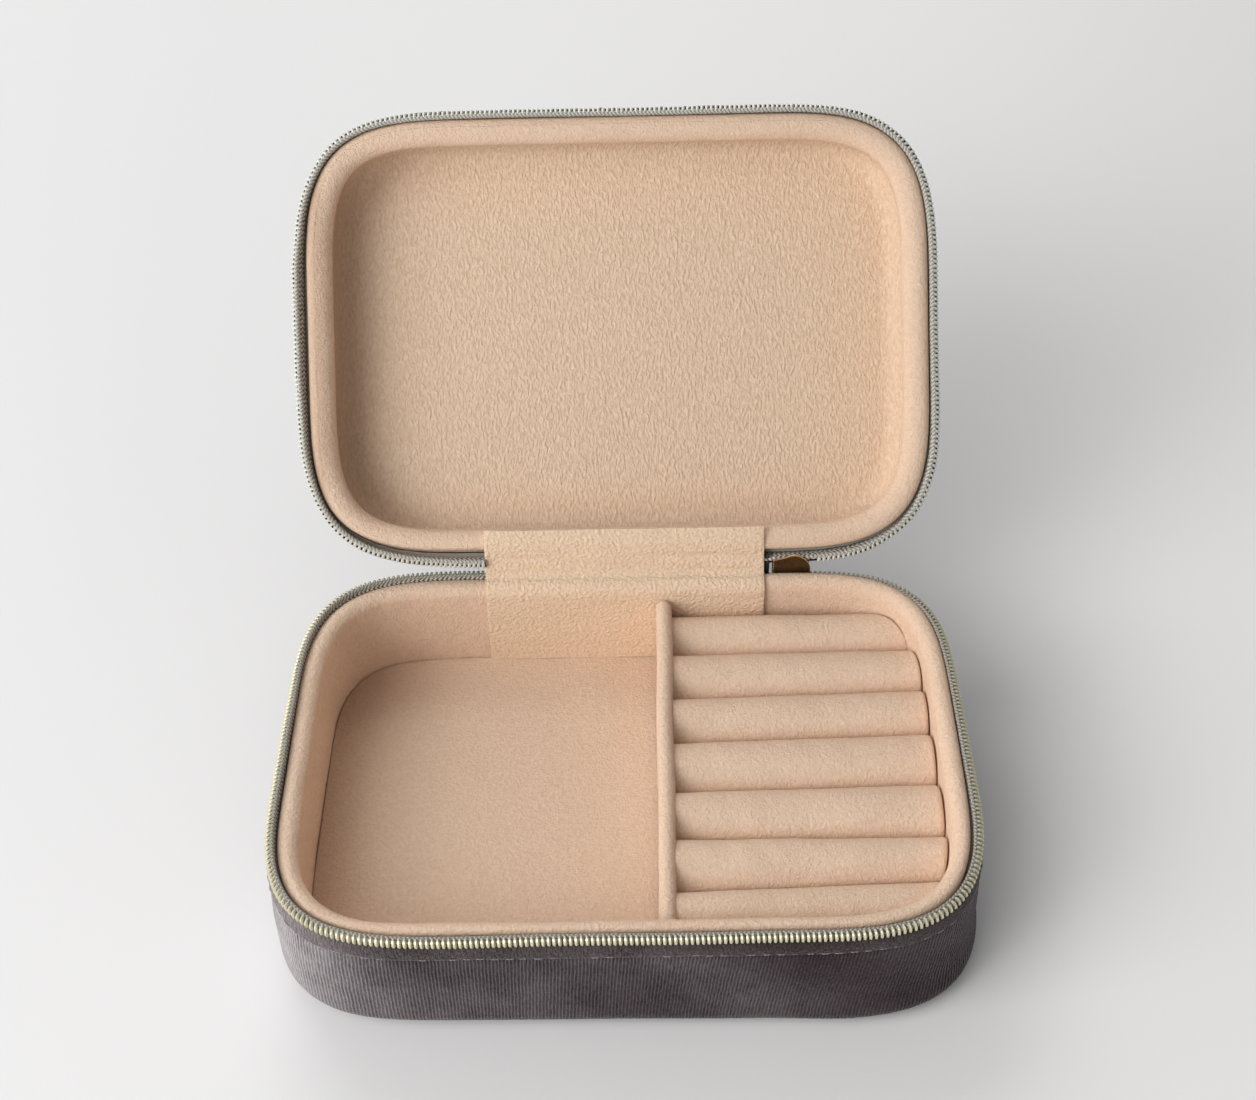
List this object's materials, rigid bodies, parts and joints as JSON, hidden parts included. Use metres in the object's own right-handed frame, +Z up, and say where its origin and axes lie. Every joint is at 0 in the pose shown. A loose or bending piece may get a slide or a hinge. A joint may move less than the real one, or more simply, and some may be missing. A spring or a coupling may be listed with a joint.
{
  "type": "jewellery box",
  "caption": "Zip-round travel jewellery box, standing open, with a hinged tray lid, a divided base and padded grooves that hold rings.",
  "frame": {"origin": "Middle of the base's underside, where the box stands on a surface", "axes": "+X to the right along the hinge, +Y to the back where the lid leans, +Z up"},
  "size_m": [0.164, 0.2039, 0.1268],
  "materials": {
    "velvet": "taupe-grey velvet with fine upright wales",
    "suede": "nude microsuede over foam",
    "embossed_suede": "nude microsuede embossed with a fine pebble grain",
    "greyboard": "uncoated grey board",
    "zip_tape": "woven grey-beige zip tape",
    "zip_coil": "pale gold coated polyester coil",
    "brass": "antique brass, polished"
  },
  "bodies": {
    "base": {"base_cover": "velvet", "base_board_tray": "greyboard", "base_hem_band": "velvet", "base_lining_wall": "suede", "base_floor_board": "greyboard", "base_floor_pad": "suede", "divider_board": "suede", "ring_roll_1": "suede", "ring_roll_2": "suede", "ring_roll_3": "suede", "ring_roll_4": "suede", "ring_roll_5": "suede", "ring_roll_6": "suede", "ring_roll_7": "suede", "zip_tape_lower": "zip_tape", "zip_coil_lower": "zip_coil", "hinge_flap": "embossed_suede", "hinge_cloth": "velvet"},
    "lid": {"lid_cover": "velvet", "lid_board_tray": "greyboard", "lid_hem_band": "velvet", "lid_lining_wall": "suede", "lid_panel_pad": "embossed_suede", "lid_panel_board": "greyboard", "zip_tape_upper": "zip_tape", "zip_coil_upper": "zip_coil"},
    "slider": {"slider_body": "brass", "slider_bail": "brass"},
    "pull_tab": {"pull_tab": "brass"}
  },
  "joints": [
    {"name": "lid_hinge", "type": "hinge", "parent": "base", "child": "lid", "pos_m": [0, 0.05666, 0.03796], "axis": [1, 0, 0], "range_deg": [0, 130.87], "deforming": ["hinge_flap", "hinge_cloth"]},
    {"name": "slider_travel", "type": "slide", "parent": "base", "child": "slider", "axis": [1, 0, 0], "range_m": [0, 0.004]},
    {"name": "pull_tab_swing", "type": "hinge", "parent": "slider", "child": "pull_tab", "pos_m": [0.0435, 0.06065, 0.0294], "axis": [1, 0, 0], "range_deg": [0, 40]}
  ]
}
